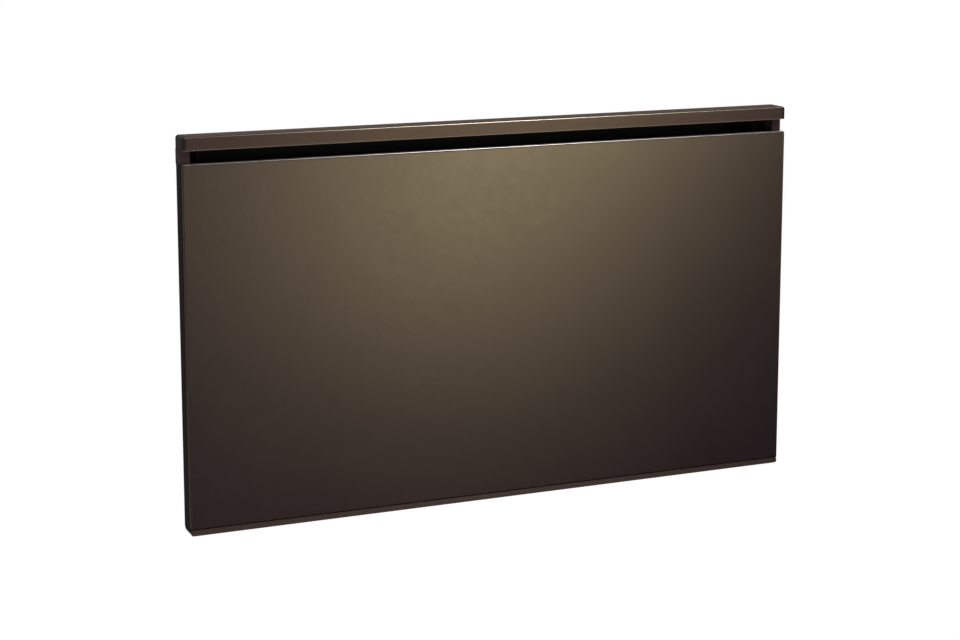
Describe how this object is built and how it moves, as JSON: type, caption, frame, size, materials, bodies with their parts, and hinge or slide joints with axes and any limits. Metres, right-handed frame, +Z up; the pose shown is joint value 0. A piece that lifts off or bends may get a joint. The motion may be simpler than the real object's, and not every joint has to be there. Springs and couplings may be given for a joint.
{
  "type": "glass convector heater",
  "caption": "Flat wall convector heater: bronze glass front, air slot under a full-width cap, shallow rear casing with finned element, side controls and a hook-on wall bracket.",
  "frame": {"origin": "centre of the four wall screw holes of the bracket, on the wall plane", "axes": "+X to the right seen from the front, +Y into the wall so the glass faces -Y, +Z up"},
  "size_m": [0.74, 0.094, 0.44],
  "materials": {
    "bronze_glass": "coated, polished",
    "bronze_metal": "satin",
    "bronze_plastic": "satin",
    "casing_paint": "fine matt",
    "galvanised": "zinc plated",
    "bare_aluminium": "mill",
    "ceramic": "unglazed",
    "black_plastic": "fine texture",
    "pale_plastic": "smooth",
    "lamp_plastic": "clear tint",
    "silicone": "matt",
    "brass": "plated"
  },
  "bodies": {
    "heater": {"backing_plate": "casing_paint", "bottom_grille": "casing_paint", "bottom_rail": "bronze_metal", "bracket_cross_bars": "galvanised", "bracket_upright_left": "galvanised", "bracket_upright_right": "galvanised", "cable_gland": "black_plastic", "cap_end_left": "bronze_plastic", "cap_end_right": "bronze_plastic", "casing_screws": "galvanised", "control_partition": "casing_paint", "element_bracket": "galvanised", "element_bush_left": "ceramic", "element_bush_right": "ceramic", "element_fins": "bare_aluminium", "element_rod": "galvanised", "gland_nut": "black_plastic", "glass_bond_strips": "silicone", "glass_panel": "bronze_glass", "glass_setting_pads": "silicone", "heat_shield": "bare_aluminium", "pilot_lamp": "lamp_plastic", "rear_panel": "casing_paint", "rear_screws": "galvanised", "side_angle_left": "casing_paint", "side_angle_right": "casing_paint", "side_plate_left": "casing_paint", "side_plate_right": "casing_paint", "side_rail_left": "bronze_metal", "side_rail_right": "bronze_metal", "side_screws": "galvanised", "slot_spacer_left": "bronze_metal", "slot_spacer_right": "bronze_metal", "spacer_screws": "galvanised", "switch_body": "black_plastic", "terminal_block": "pale_plastic", "thermal_cutout": "galvanised", "thermostat_body": "pale_plastic", "thermostat_nut": "brass", "top_cap": "bronze_metal", "top_deflector": "casing_paint", "top_rail": "bronze_metal", "wall_bumpers": "silicone"},
    "knob": {"thermostat_knob": "black_plastic", "thermostat_shaft": "galvanised"},
    "rocker": {"power_rocker": "black_plastic"},
    "lock_left": {"lock_left": "black_plastic"},
    "lock_right": {"lock_right": "black_plastic"}
  },
  "joints": [
    {"name": "knob_turn", "type": "hinge", "parent": "heater", "child": "knob", "pos_m": [0.346, -0.045, 0.0625], "axis": [-1, 0, 0], "range_deg": [0, 270]},
    {"name": "rocker_tilt", "type": "hinge", "parent": "heater", "child": "rocker", "pos_m": [0.3444, -0.045, 0.0125], "axis": [0, -1, 0], "range_deg": [0, 14]},
    {"name": "lock_left_turn", "type": "hinge", "parent": "heater", "child": "lock_left", "pos_m": [-0.2, -0.007, 0.1375], "axis": [0, 0, 1], "range_deg": [0, 90]},
    {"name": "lock_right_turn", "type": "hinge", "parent": "heater", "child": "lock_right", "pos_m": [0.2, -0.007, 0.1375], "axis": [0, 0, 1], "range_deg": [-90, 0]}
  ]
}
